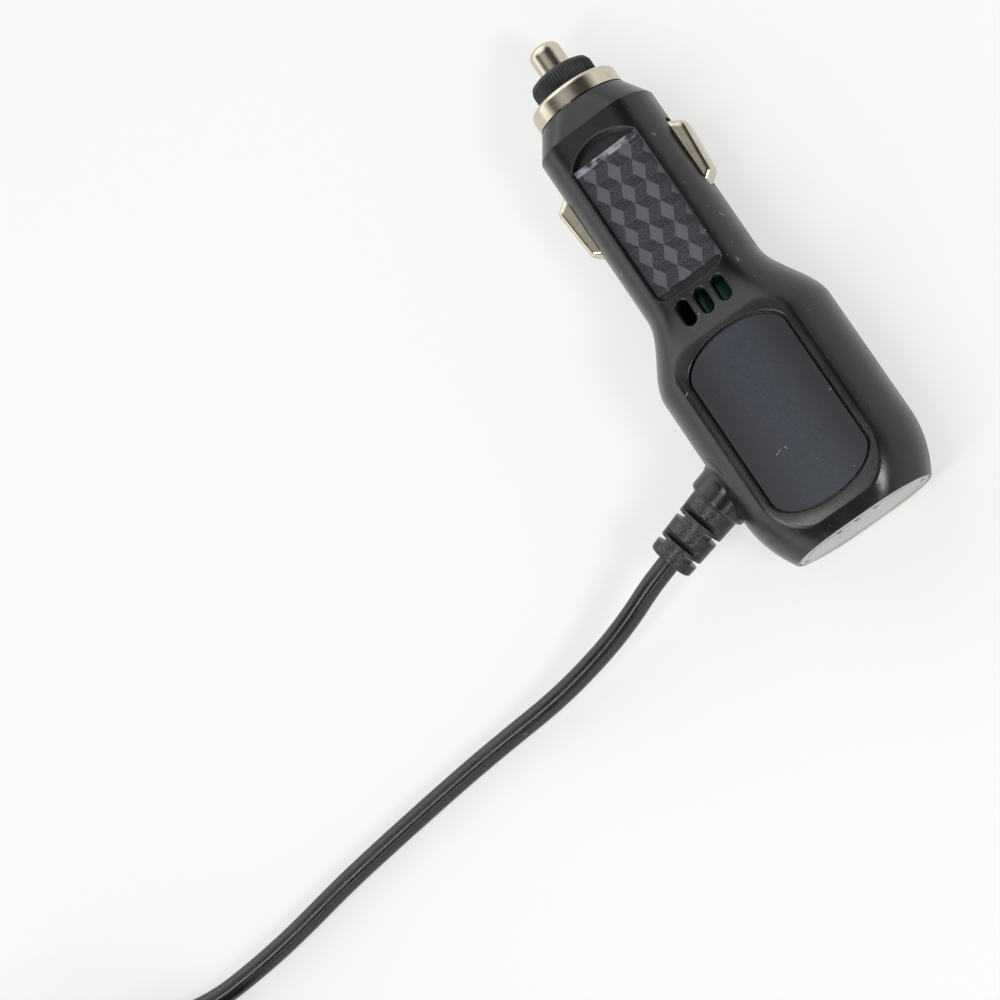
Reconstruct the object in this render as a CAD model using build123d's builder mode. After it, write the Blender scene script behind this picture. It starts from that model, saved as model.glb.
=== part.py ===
from build123d import *
import os
from math import asin, atan2, cos, degrees, pi, radians, sin, tan

# Car charger plug, lying on its flat underside. All sizes are in millimetres.
# +X points to the nose, +Y to the side where the lead leaves, +Z up from the surface it lies on.
# A station is a distance back from the tip's end, along the plug's axis.

# Lengths of the stretches along the axis, from the tip back to the socket end
tip_reach = 5.05
cap_length = 3.9
ring_length = 3.05
ring_gap = 0.3
cone_length = 4.1
barrel_length = 29.6
flare_length = 12.5
head_length = 21.9
taper_length = 10.0

# Outer sections of the housing: width, height, and the flat between the rounded sides
rim_diameter = 15.3
rim_flat = 1.0
barrel_width = 20.5
barrel_height = 17.0
barrel_flat = 8.8
head_width = 30.6
head_crown = 21.4
head_flat = 13.0
head_height = 19.4
end_width = 24.6
end_height = 18.0
end_flat = 6.0
parting_bevel = 0.15
land_round = 1.2
end_round = 0.15

# Walls of the housing and the room inside
wall = 1.6
barrel_top_wall = 2.9
land_wall = 1.8
cavity_flat = 10.0
nose_wall = 2.05
nose_chamber = 17.9
bulkhead = 3.6
fit_gap = 0.05

# Knurled nose cap, nickel ring and sprung tip
cap_diameter = 10.7
cap_round = 1.1
cap_round_share = 0.3
cap_neck_diameter = 8.9
cap_neck_length = 5.45
cap_front_wall = 2.45
cap_chamber_diameter = 7.2
knurl_count = 60
knurl_depth = 0.22
ring_diameter = 15.1
ring_round = 0.8
ring_neck_diameter = 11.9
ring_neck_length = 2.65
ring_flange_diameter = 13.5
ring_flange_length = 1.3
tip_diameter = 5.35
tip_round = 1.55
tip_clearance = 0.075
tip_flange_diameter = 6.8
tip_flange_length = 1.45
tip_spigot_diameter = 3.2
tip_spigot_length = 2.0
tip_spring_wire = 0.5
tip_spring_diameter = 4.9
tip_spring_turns = 7

# Glass fuse behind the tip
fuse_length = 20.0
fuse_lead_in = 0.8
fuse_cap_diameter = 5.2
fuse_cap_length = 5.0
fuse_cap_wall = 0.2
fuse_glass_wall = 0.5
fuse_wire_diameter = 0.3
fuse_clearance = 0.2
terminal_diameter = 8.0
terminal_thickness = 0.6
terminal_tab_width = 3.0
terminal_tab_thickness = 0.5
terminal_tab_length = 5.2
terminal_passage = 4.0

# Sprung side contacts
contact_setback = 5.3
contact_length = 12.6
contact_height = 4.2
contact_round = 1.3
contact_edge_round = 1.0
contact_front_reach = 12.44
contact_rear_reach = 11.75
contact_front_slope = 2.0
contact_rear_slope = 1.7
contact_heel = 9.3
contact_flange_overlap = 1.1
contact_flange_height = 5.8
contact_flange_thickness = 0.6
contact_flange_reach = 7.7
contact_slot_gap = 0.15
contact_spring_diameter = 4.4
contact_spring_wire = 0.45
contact_spring_turns = 3.5
cradle_wall = 0.8
cradle_gap = 0.15
cradle_rise = 2.6

# Patterned film in its recess on the barrel
recess_setback = 2.6
recess_overrun = 0.8
recess_length = barrel_length - recess_setback + recess_overrun
recess_width = 12.0
recess_depth = 1.9
recess_arch = 2.7
recess_bow = 0.5
recess_corner = 1.5
recess_bevel = 0.25
film_inset = 2.5
film_rear_gap = 1.7
film_length = recess_length - film_inset - film_rear_gap
film_thickness = 0.25
film_side_gap = 0.15

# Vents and the oval panel on the head
vent_setback = 3.9
vent_length = 4.4
vent_width = 2.1
vent_pitch = 3.3
vent_count = 3
vent_round = 0.25
panel_setback = 12.2
panel_length = 30.8
panel_width = 18.0
panel_end_rise = 4.9
panel_depth = 1.0
panel_thickness = 0.9
panel_gap = 0.4
lip_round = 0.35

# Pale end plate and the circuit board
plate_rim = 0.45
plate_thickness = 1.4
plate_round = 0.1
plate_ledge = 1.4
plate_gap = 0.05
slit_side_inset = 1.5
slit_top_inset = 1.8
slit_height = 0.9
slit_reach = 10.0
catch_spread = 21.6
catch_width = 0.7
catch_height = 1.9
notch_count = 3
notch_pitch = 3.3
notch_width = 0.9
notch_height = 1.5
board_thickness = 1.2
board_width = 16.4
board_start_gap = 0.5
board_end_gap = 0.4
chip_setback = 16.0
chip_length = 5.0
chip_width = 4.0
chip_height = 1.5
inductor_setback = 22.5
inductor_diameter = 8.0
inductor_height = 4.5
inductor_flange = 0.9
inductor_core_diameter = 4.0
winding_diameter = 7.2
capacitor_setback = 30.5
capacitor_diameter = 6.3
capacitor_height = 5.8
capacitor_round = 0.4
capacitor_spread = 7.0
post_diameter = 3.0
post_spread = 12.6
post_front_setback = 10.0
post_rear_setback = 30.5

# Boss and strain relief on the lead's side
boss_setback = 16.8
boss_stand_off = 2.4
boss_lean = 15.0
boss_diameter = 9.9
boss_round = 0.7
boss_shank = 1.9
boss_fillet = 2.6
boss_root = 2.8
relief_neck_diameter = 5.0
relief_neck_gap = 0.1
relief_flange_diameter = 6.4
relief_flange_length = 1.2
relief_neck_length = 7.9
relief_base_diameter = 8.25
relief_end_diameter = 7.4
relief_length = 11.2
relief_round = 0.5
relief_core_diameter = 4.2
relief_slot = 0.95
relief_top_slots = [2.7, 7.4]
relief_side_slots = [4.3, 8.9]

# Lead, put away in a tied coil, with a small plug on its end
lead_diameter = 3.5
lead_first_run = 9.2
bend_share = 0.45
coil_columns = 5
coil_layers = 5
coil_mean_diameter = 42.0
coil_entry = (-17.0, 155.0)
coil_entry_from = (-19.0, 145.5)
tie_width = 7.5
tie_thickness = 0.5
tie_angle = 270.0
tail_sweep = 186.0
tail_runs = 6
plug_length = 14.0
plug_width = 10.5
plug_height = 7.0
plug_round = 1.6
plug_relief_length = 6.0
plug_relief_tip = 4.8
plug_relief_base = 6.0
plug_rest_gap = 0.05
plug_shell_length = 6.5
plug_shell_width = 6.9
plug_shell_height = 3.1
plug_shell_wall = 0.3
plug_tongue_width = 4.6
plug_tongue_thickness = 1.0
plug_tongue_sink = 0.6

# Stations worked out from the lengths
cap_front = tip_reach
ring_front = cap_front + cap_length
ring_rear = ring_front + ring_length
rim = ring_rear + ring_gap
shoulder = rim + cone_length
flare_start = shoulder + barrel_length
head_start = flare_start + flare_length
taper_start = head_start + head_length
socket_end = taper_start + taper_length
plate_seat = socket_end - plate_thickness
ring_flange_front = ring_rear + ring_neck_length
ring_flange_rear = ring_flange_front + ring_flange_length
chamber_front = ring_flange_rear + nose_wall
chamber_rear = chamber_front + nose_chamber
bulkhead_rear = chamber_rear + bulkhead
fuse_front = chamber_front - fuse_lead_in
fuse_rear = fuse_front + fuse_length
terminal_rear = fuse_rear + terminal_thickness
tip_flange_front = cap_front + cap_front_wall + fit_gap
tip_flange_rear = tip_flange_front + tip_flange_length
panel_centre = head_start + panel_setback
axis_height = head_height / 2

os.makedirs("parts", exist_ok=True)


def x_at(station):
    """X of a station: the row's origin lies under the middle of the oval panel."""
    return panel_centre - station


plug_axis = Axis((0, 0, axis_height), (1, 0, 0))
parting_plane = Plane.XY.offset(axis_height)

# Profile plane for turned pieces: first coordinate is the station, second the radius
lathe = Plane(origin=(x_at(0), 0, axis_height), x_dir=(-1, 0, 0), z_dir=(0, 1, 0))


def across(station):
    """Plane square to the axis, with +Y across, +Z up, and its normal towards the nose."""
    return Plane(origin=(x_at(station), 0, axis_height), x_dir=(0, 1, 0), z_dir=(1, 0, 0))


def seen_from_above(height):
    """Level plane at a height over the axis: stations along it, +Y across, its normal down."""
    return Plane(origin=(x_at(0), 0, axis_height + height), x_dir=(-1, 0, 0), z_dir=(0, 0, -1))


def shell_section(station, width, height, flat):
    """Upper half of an outer section, with a small bevel at the parting line."""
    side_radius = (width - flat) / 2
    start = degrees(asin(parting_bevel / (height / 2)))
    foot = width / 2 - parting_bevel
    with BuildSketch(across(station)) as section:
        with BuildLine():
            right = EllipticalCenterArc((flat / 2, 0), side_radius, height / 2, start, arc_size=90 - start)
            left = EllipticalCenterArc((-flat / 2, 0), side_radius, height / 2, 90, arc_size=90 - start)
            Line(right @ 1, left @ 0)
            Polyline(left @ 1, (-foot, 0), (foot, 0), right @ 0)
        make_face()
    return section.sketch


def full_section(station, width, height, flat):
    """Whole section with flat top and bottom and elliptical sides."""
    side_radius = (width - flat) / 2
    with BuildSketch(across(station)) as section:
        with BuildLine():
            right = EllipticalCenterArc((flat / 2, 0), side_radius, height / 2, -90, arc_size=180)
            left = EllipticalCenterArc((-flat / 2, 0), side_radius, height / 2, 90, arc_size=180)
            Line(right @ 1, left @ 0)
            Line(left @ 1, right @ 0)
        make_face()
    return section.sketch


def between(first, second, shares):
    """Sizes part of the way from one section's sizes to another's, with a share for each size."""
    return [a + (b - a) * share for a, b, share in zip(first, second, shares)]


def flare_shares(step):
    """Soft S-curve from barrel to head, in which the height rises later than the width."""
    soft = step * step * (3 - 2 * step)
    return (soft, soft * soft, soft)


def taper_shares(step):
    """Rounded fall from the head to the socket end."""
    return (step * step,) * 3


flare_steps = [k / 6 for k in range(7)]
taper_steps = [k / 5 for k in range(6)]

rim_outer = (rim_diameter, rim_diameter, rim_flat)
barrel_outer = (barrel_width, barrel_height, barrel_flat)
head_outer = (head_width, head_crown, head_flat)
end_outer = (end_width, end_height, end_flat)
barrel_inner = (barrel_width - 2 * wall, barrel_height - 2 * barrel_top_wall, barrel_flat - wall)
head_inner = (head_width - 2 * wall, head_height - 2 * land_wall, cavity_flat)
plate_pocket = (end_width - 2 * plate_rim, end_height - 2 * plate_rim, end_flat + plate_rim)
end_inner = (plate_pocket[0] - 2 * plate_ledge, plate_pocket[1] - 2 * plate_ledge, cavity_flat)

# Plane along the lead's exit: first coordinate outwards, origin at the boss's end face
lean = radians(boss_lean)
lead_out = Vector(-sin(lean), cos(lean), 0)
relief_base = Vector(x_at(head_start + boss_setback), head_width / 2 + boss_stand_off, axis_height)
relief_plane = Plane(origin=relief_base, x_dir=lead_out, z_dir=(0, 0, 1))
relief_axis = Axis(relief_base, lead_out)

# Half of the housing's shell, the same above and below the parting plane
with BuildPart() as half_shell:
    loft(sections=[shell_section(rim, *rim_outer), shell_section(shoulder, *barrel_outer)], ruled=True)
    extrude(shell_section(flare_start, *barrel_outer), amount=barrel_length)
    loft(sections=[
        shell_section(
            flare_start + step * flare_length,
            *between(barrel_outer, head_outer, flare_shares(step)),
        )
        for step in flare_steps
    ])
    extrude(shell_section(taper_start, *head_outer), amount=head_length)
    loft(sections=[
        shell_section(
            taper_start + step * taper_length,
            *between(head_outer, end_outer, taper_shares(step)),
        )
        for step in taper_steps
    ])
    with BuildSketch(relief_plane) as boss_profile:
        with BuildLine():
            root_depth = boss_shank + boss_fillet + boss_round
            root_radius = boss_diameter / 2 + boss_fillet
            Polyline(
                (0, boss_diameter / 2 - boss_round),
                (0, 0),
                (-root_depth - boss_root, 0),
                (-root_depth - boss_root, root_radius),
                (-root_depth, root_radius),
            )
            RadiusArc((-root_depth, root_radius), (-boss_shank - boss_round, boss_diameter / 2), -boss_fillet)
            Line((-boss_shank - boss_round, boss_diameter / 2), (-boss_round, boss_diameter / 2))
            RadiusArc((-boss_round, boss_diameter / 2), (0, boss_diameter / 2 - boss_round), boss_round)
        make_face()
    revolve(axis=relief_axis)
    split(bisect_by=parting_plane, keep=Keep.TOP)
    split(bisect_by=Plane.XY.offset(head_height), keep=Keep.BOTTOM)
    fillet(half_shell.faces().sort_by(Axis.Z)[-1].outer_wire().edges(), land_round)
    fillet(half_shell.faces().sort_by(Axis.X)[0].outer_wire().edges().sort_by(Axis.Z)[1:], end_round)
    extrude(full_section(chamber_rear, *barrel_inner), amount=nose_chamber, mode=Mode.SUBTRACT)
    extrude(full_section(flare_start, *barrel_inner), amount=flare_start - bulkhead_rear, mode=Mode.SUBTRACT)
    loft(sections=[
        full_section(
            flare_start + step * flare_length,
            *between(barrel_inner, head_inner, flare_shares(step)),
        )
        for step in flare_steps
    ], mode=Mode.SUBTRACT)
    extrude(full_section(taper_start, *head_inner), amount=head_length, mode=Mode.SUBTRACT)
    loft(sections=[
        full_section(
            taper_start + step * (plate_seat - taper_start),
            *between(head_inner, end_inner, taper_shares(step)),
        )
        for step in taper_steps
    ], mode=Mode.SUBTRACT)
    extrude(full_section(socket_end, *plate_pocket), amount=socket_end - plate_seat, mode=Mode.SUBTRACT)
    with BuildSketch(lathe) as nose_bores:
        with BuildLine():
            ring_bore = ring_neck_diameter / 2 + fit_gap
            flange_bore = ring_flange_diameter / 2 + fit_gap
            fuse_bore = fuse_cap_diameter / 2 + fuse_clearance
            disc_bore = terminal_diameter / 2 + fit_gap
            Polyline(
                (rim, 0),
                (rim, ring_bore),
                (ring_flange_front - fit_gap, ring_bore),
                (ring_flange_front - fit_gap, flange_bore),
                (ring_flange_rear + fit_gap, flange_bore),
                (ring_flange_rear + fit_gap, fuse_bore),
                (fuse_rear, fuse_bore),
                (fuse_rear, disc_bore),
                (terminal_rear + fit_gap, disc_bore),
                (terminal_rear + fit_gap, terminal_passage / 2),
                (bulkhead_rear, terminal_passage / 2),
                (bulkhead_rear, 0),
                close=True,
            )
        make_face()
    revolve(axis=plug_axis, mode=Mode.SUBTRACT)
    slot_front = shoulder + contact_setback - contact_slot_gap
    slot_length = contact_length + 2 * contact_slot_gap
    with BuildSketch(parting_plane) as contact_slots:
        with Locations((x_at(slot_front + slot_length / 2), 0)):
            Rectangle(slot_length, head_width)
            Rectangle(slot_length, barrel_width - 4 * wall, mode=Mode.SUBTRACT)
    extrude(amount=contact_height / 2 + contact_slot_gap, mode=Mode.SUBTRACT)
    with BuildSketch(relief_plane) as relief_hole:
        with Locations((-relief_neck_length / 2, relief_neck_diameter / 4 + relief_neck_gap / 2)):
            Rectangle(relief_neck_length, relief_neck_diameter / 2 + relief_neck_gap)
    revolve(axis=relief_axis, mode=Mode.SUBTRACT)


def panel_outline(height, inset):
    """Outline of the oval panel's recess on a level plane, or of the panel, inset from it."""
    straight = panel_length / 2 - panel_end_rise
    rise = panel_end_rise - inset
    half = panel_width / 2 - inset
    with BuildSketch(seen_from_above(height)) as outline:
        with BuildLine():
            front = EllipticalCenterArc((panel_centre - straight, 0), rise, half, 90, arc_size=180)
            rear = EllipticalCenterArc((panel_centre + straight, 0), rise, half, -90, arc_size=180)
            Line(front @ 1, rear @ 0)
            Line(rear @ 1, front @ 0)
        make_face()
    return outline.sketch


def upper_rim(edges):
    """Edges of a cut from above where it meets the outer surface."""
    level = axis_height + (recess_floor + barrel_height / 2) / 2
    return edges.filter_by(Axis.Z, reverse=True).filter_by(lambda edge: edge.center().Z > level)


# Upper housing half: film recess on the barrel, vents and oval panel recess on the head
recess_front = shoulder + recess_setback
recess_rear = recess_front + recess_length
recess_floor = barrel_height / 2 - recess_depth
vent_centre = flare_start + vent_setback
with BuildPart() as housing_upper:
    add(half_shell.part)
    with BuildSketch(seen_from_above(head_height / 2)) as film_recess:
        with BuildLine():
            half = recess_width / 2
            arch_foot = recess_front + recess_arch
            bow_foot = recess_rear - recess_bow
            ThreePointArc((arch_foot, -half), (recess_front, 0), (arch_foot, half))
            Line((arch_foot, half), (bow_foot, half))
            ThreePointArc((bow_foot, half), (recess_rear, 0), (bow_foot, -half))
            Line((bow_foot, -half), (arch_foot, -half))
        make_face()
        fillet(film_recess.vertices().group_by(Axis.X)[-1], recess_corner)
    extrude(amount=head_height / 2 - recess_floor, mode=Mode.SUBTRACT)
    chamfer(upper_rim(housing_upper.edges(Select.LAST)), recess_bevel)
    with BuildSketch(seen_from_above(head_height / 2)) as vents:
        with Locations((vent_centre, 0)):
            with GridLocations(0, vent_pitch, 1, vent_count):
                SlotOverall(vent_length, vent_width)
    extrude(amount=head_height / 2, mode=Mode.SUBTRACT)
    fillet(upper_rim(housing_upper.edges(Select.LAST)), vent_round)
    extrude(panel_outline(head_height / 2, 0), amount=panel_depth, mode=Mode.SUBTRACT)
    panel_lip = housing_upper.edges(Select.LAST).group_by(Axis.Z)[-1]
    fillet(panel_lip, lip_round)

# Lower housing half: fuse cradle between the contacts and posts under the board
cradle_inner = fuse_cap_diameter / 2 + cradle_gap
cradle_outer = cradle_inner + cradle_wall
board_bottom = -board_thickness / 2
with BuildPart() as housing_lower:
    mirror(half_shell.part, about=parting_plane)
    with BuildSketch(seen_from_above(cradle_rise)) as cradle:
        with Locations((chamber_front + nose_chamber / 2, 0)):
            Rectangle(nose_chamber, 2 * cradle_outer)
            Rectangle(nose_chamber, 2 * cradle_inner, mode=Mode.SUBTRACT)
    extrude(amount=cradle_rise + (barrel_height - wall) / 2)
    with BuildSketch(seen_from_above(board_bottom)) as front_posts:
        with Locations((bulkhead_rear + post_front_setback, 0)):
            with GridLocations(0, post_spread, 1, 2):
                Circle(post_diameter / 2)
    extrude(amount=(barrel_height - wall) / 2 + board_bottom)
    with BuildSketch(seen_from_above(board_bottom)) as rear_posts:
        with Locations((bulkhead_rear + post_rear_setback, 0)):
            with GridLocations(0, post_spread, 1, 2):
                Circle(post_diameter / 2)
    extrude(amount=(head_height - land_wall) / 2 + board_bottom)

# Nickel ring, trapped by its flange between the housing halves
with BuildPart() as nose_ring:
    with BuildSketch(lathe) as ring_profile:
        with BuildLine():
            bore = cap_neck_diameter / 2 + fit_gap
            Polyline(
                (ring_front, bore),
                (ring_front, ring_diameter / 2),
                (ring_rear, ring_diameter / 2),
                (ring_rear, ring_neck_diameter / 2),
                (ring_flange_front, ring_neck_diameter / 2),
                (ring_flange_front, ring_flange_diameter / 2),
                (ring_flange_rear, ring_flange_diameter / 2),
                (ring_flange_rear, bore),
                close=True,
            )
        make_face()
        fillet(ring_profile.vertices().group_by(Axis.Y)[-1].sort_by(Axis.X)[0], ring_round)
    revolve(axis=plug_axis)

# Knurled cap that screws into the ring and guides the tip
with BuildPart() as nose_cap:
    with BuildSketch(across(ring_front)) as knurl:
        with BuildLine():
            crest = cap_diameter / 2
            root = crest - knurl_depth
            half_step = pi / knurl_count
            radii = [crest, root] * knurl_count
            Polyline(
                [(r * cos(k * half_step), r * sin(k * half_step)) for k, r in enumerate(radii)],
                close=True,
            )
        make_face()
    extrude(amount=cap_length)
    with BuildSketch(lathe) as cap_outside:
        with BuildLine():
            Polyline(
                (ring_front, 0),
                (ring_front, crest),
                (cap_front + cap_round, crest),
                (cap_front + cap_round * cap_round_share, crest - cap_round * cap_round_share),
                (cap_front, crest - cap_round),
                (cap_front, 0),
                close=True,
            )
        make_face()
    revolve(axis=plug_axis, mode=Mode.INTERSECT)
    with BuildSketch(across(ring_front + cap_neck_length)):
        Circle(cap_neck_diameter / 2)
    extrude(amount=cap_neck_length)
    with BuildSketch(across(ring_front + cap_neck_length)):
        Circle(cap_chamber_diameter / 2)
    extrude(amount=cap_length + cap_neck_length - cap_front_wall, mode=Mode.SUBTRACT)
    with BuildSketch(across(ring_front)):
        Circle(tip_diameter / 2 + tip_clearance)
    extrude(amount=cap_length, mode=Mode.SUBTRACT)

# Turned centre tip, pushed forward by its spring
with BuildPart() as centre_tip:
    with BuildSketch(lathe) as tip_profile:
        with BuildLine():
            Polyline(
                (0, 0),
                (0, tip_diameter / 2),
                (tip_flange_front, tip_diameter / 2),
                (tip_flange_front, tip_flange_diameter / 2),
                (tip_flange_rear, tip_flange_diameter / 2),
                (tip_flange_rear, tip_spigot_diameter / 2),
                (tip_flange_rear + tip_spigot_length, tip_spigot_diameter / 2),
                (tip_flange_rear + tip_spigot_length, 0),
                close=True,
            )
        make_face()
        fillet(tip_profile.vertices().group_by(Axis.X)[0].sort_by(Axis.Y)[-1], tip_round)
    revolve(axis=plug_axis)


def spring_between(start, direction, length, outer_diameter, wire, turns):
    """Open coil spring of round wire, from a start point along a direction."""
    seat = start + direction * (wire / 2 + fit_gap)
    height = length - wire - 2 * fit_gap
    radius = (outer_diameter - wire) / 2
    with BuildPart() as spring:
        with BuildLine() as coil:
            Helix(height / turns, height, radius, center=seat, direction=direction)
        with BuildSketch(Plane(origin=coil.line @ 0, z_dir=coil.line % 0)):
            Circle(wire / 2)
        sweep(path=coil.line, is_frenet=True)
    return spring.part


with BuildPart() as tip_spring:
    add(spring_between(
        Vector(x_at(fuse_front), 0, axis_height),
        Vector(1, 0, 0),
        fuse_front - tip_flange_rear,
        tip_spring_diameter,
        tip_spring_wire,
        tip_spring_turns,
    ))

# Glass fuse: tube, two metal end caps and the wire between them
glass_radius = fuse_cap_diameter / 2 - fuse_cap_wall
with BuildPart() as fuse_glass:
    with BuildSketch(across(fuse_rear - fuse_cap_wall)):
        Circle(glass_radius)
        Circle(glass_radius - fuse_glass_wall, mode=Mode.SUBTRACT)
    extrude(amount=fuse_length - 2 * fuse_cap_wall)

with BuildPart() as fuse_caps:
    for first, last in ((fuse_front, fuse_front + fuse_cap_length), (fuse_rear, fuse_rear - fuse_cap_length)):
        inward = fuse_cap_wall if last > first else -fuse_cap_wall
        with BuildSketch(lathe):
            with BuildLine():
                Polyline(
                    (first, 0),
                    (first, fuse_cap_diameter / 2),
                    (last, fuse_cap_diameter / 2),
                    (last, glass_radius),
                    (first + inward, glass_radius),
                    (first + inward, 0),
                    close=True,
                )
            make_face()
        revolve(axis=plug_axis)

with BuildPart() as fuse_wire:
    with BuildSketch(across(fuse_rear - fuse_cap_wall)):
        Circle(fuse_wire_diameter / 2)
    extrude(amount=fuse_length - 2 * fuse_cap_wall)

# Terminal disc behind the fuse, with a tab soldered to the board
board_top = board_thickness / 2
with BuildPart() as fuse_terminal:
    with BuildSketch(across(terminal_rear)):
        Circle(terminal_diameter / 2)
    extrude(amount=terminal_thickness)
    with BuildSketch(seen_from_above(board_top + terminal_tab_thickness)):
        with Locations((terminal_rear + terminal_tab_length / 2, 0)):
            Rectangle(terminal_tab_length, terminal_tab_width)
    extrude(amount=terminal_tab_thickness)

# Stamped side contacts, each held in by a flange behind its slot
contact_front = shoulder + contact_setback
contact_rear = contact_front + contact_length
flange_inner = contact_flange_reach - contact_flange_thickness
with BuildPart() as contact_left:
    with BuildSketch(seen_from_above(contact_height / 2)) as contact_plan:
        with BuildLine():
            Polyline(
                (contact_front, flange_inner),
                (contact_front, contact_heel),
                (contact_front + contact_front_slope, contact_front_reach),
                (contact_rear - contact_rear_slope, contact_rear_reach),
                (contact_rear, contact_heel),
                (contact_rear, flange_inner),
                close=True,
            )
        make_face()
        fillet(contact_plan.vertices().group_by(Axis.Y)[-2:], contact_round)
    extrude(amount=contact_height)
    fillet(contact_left.edges().filter_by(lambda e: e.center().Y > contact_heel), contact_edge_round)
    with BuildSketch(Plane(
        origin=(x_at(contact_front + contact_length / 2), flange_inner, axis_height),
        x_dir=(1, 0, 0),
        z_dir=(0, 1, 0),
    )):
        Rectangle(contact_length + 2 * contact_flange_overlap, contact_flange_height)
    extrude(amount=contact_flange_thickness)

with BuildPart() as contact_right:
    mirror(contact_left.part, about=Plane.XZ)

with BuildPart() as contact_spring_left:
    add(spring_between(
        Vector(x_at(contact_front + contact_length / 2), cradle_outer, axis_height),
        Vector(0, 1, 0),
        flange_inner - cradle_outer,
        contact_spring_diameter,
        contact_spring_wire,
        contact_spring_turns,
    ))

with BuildPart() as contact_spring_right:
    mirror(contact_spring_left.part, about=Plane.XZ)

# Patterned film on the floor of its recess
film_centre = recess_front + film_inset + film_length / 2
with BuildPart() as grip_inlay:
    with BuildSketch(seen_from_above(recess_floor + film_thickness)):
        with Locations((film_centre, 0)):
            Rectangle(film_length, recess_width - 2 * film_side_gap)
    extrude(amount=film_thickness)

# Oval panel glued into the head's recess, with an even groove around it
with BuildPart() as head_panel:
    panel_top = head_height / 2 - panel_depth + panel_thickness
    extrude(panel_outline(panel_top, panel_gap), amount=panel_thickness)

# Circuit board between the halves, resting on the posts
board_front = bulkhead_rear + board_start_gap
board_rear = plate_seat - board_end_gap
with BuildPart() as main_board:
    with BuildSketch(seen_from_above(board_top)):
        with Locations(((board_front + board_rear) / 2, 0)):
            Rectangle(board_rear - board_front, board_width)
    extrude(amount=board_thickness)

# Parts soldered to the board's top
with BuildPart() as converter_chip:
    with BuildSketch(seen_from_above(board_top + chip_height)):
        with Locations((board_front + chip_setback, 0)):
            Rectangle(chip_length, chip_width)
    extrude(amount=chip_height)

inductor_foot = Plane(origin=(x_at(board_front + inductor_setback), 0, axis_height + board_top))
with BuildPart() as inductor_core:
    with BuildSketch(inductor_foot):
        Circle(inductor_diameter / 2)
    extrude(amount=inductor_flange)
    with BuildSketch(inductor_foot):
        Circle(inductor_core_diameter / 2)
    extrude(amount=inductor_height)
    with BuildSketch(inductor_foot.offset(inductor_height - inductor_flange)):
        Circle(inductor_diameter / 2)
    extrude(amount=inductor_flange)

with BuildPart() as inductor_winding:
    with BuildSketch(inductor_foot.offset(inductor_flange)):
        Circle(winding_diameter / 2)
        Circle(inductor_core_diameter / 2, mode=Mode.SUBTRACT)
    extrude(amount=inductor_height - 2 * inductor_flange)


def capacitor_at(side):
    """Round can capacitor standing on the board."""
    foot = Plane(origin=(
        x_at(board_front + capacitor_setback),
        side * capacitor_spread / 2,
        axis_height + board_top,
    ))
    with BuildPart() as can:
        with BuildSketch(foot):
            Circle(capacitor_diameter / 2)
        extrude(amount=capacitor_height)
        fillet(can.edges().group_by(Axis.Z)[-1], capacitor_round)
    return can.part


with BuildPart() as capacitor_input:
    add(capacitor_at(1))

with BuildPart() as capacitor_output:
    add(capacitor_at(-1))

# Pale end plate in its pocket, with a slit along the upper and the lower edge of its middle,
# three notches at the upper slit and a catch slot at each end
plate_size = (plate_pocket[0] - 2 * plate_gap, plate_pocket[1] - 2 * plate_gap, plate_pocket[2])
slit_outer = (end_width - 2 * slit_side_inset, end_height - 2 * slit_top_inset, end_flat)
slit_inner = (slit_outer[0], slit_outer[1] - 2 * slit_height, end_flat)
with BuildPart() as end_plate:
    extrude(full_section(socket_end, *plate_size), amount=plate_thickness)
    fillet(end_plate.faces().sort_by(Axis.X)[0].outer_wire().edges(), plate_round)
    with BuildPart(mode=Mode.PRIVATE) as slits:
        extrude(full_section(socket_end, *slit_outer), amount=plate_thickness)
        extrude(full_section(socket_end, *slit_inner), amount=plate_thickness, mode=Mode.SUBTRACT)
        with BuildSketch(across(socket_end)):
            Rectangle(2 * slit_reach, end_height)
        extrude(amount=plate_thickness, mode=Mode.INTERSECT)
    add(slits.part, mode=Mode.SUBTRACT)
    with BuildSketch(across(socket_end)) as catches:
        with Locations((0, (slit_inner[1] - notch_height) / 2)):
            with GridLocations(notch_pitch, 0, notch_count, 1):
                Rectangle(notch_width, notch_height + slit_height)
        with GridLocations(catch_spread, 0, 2, 1):
            Rectangle(catch_width, catch_height)
    extrude(amount=plate_thickness, mode=Mode.SUBTRACT)

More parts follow.
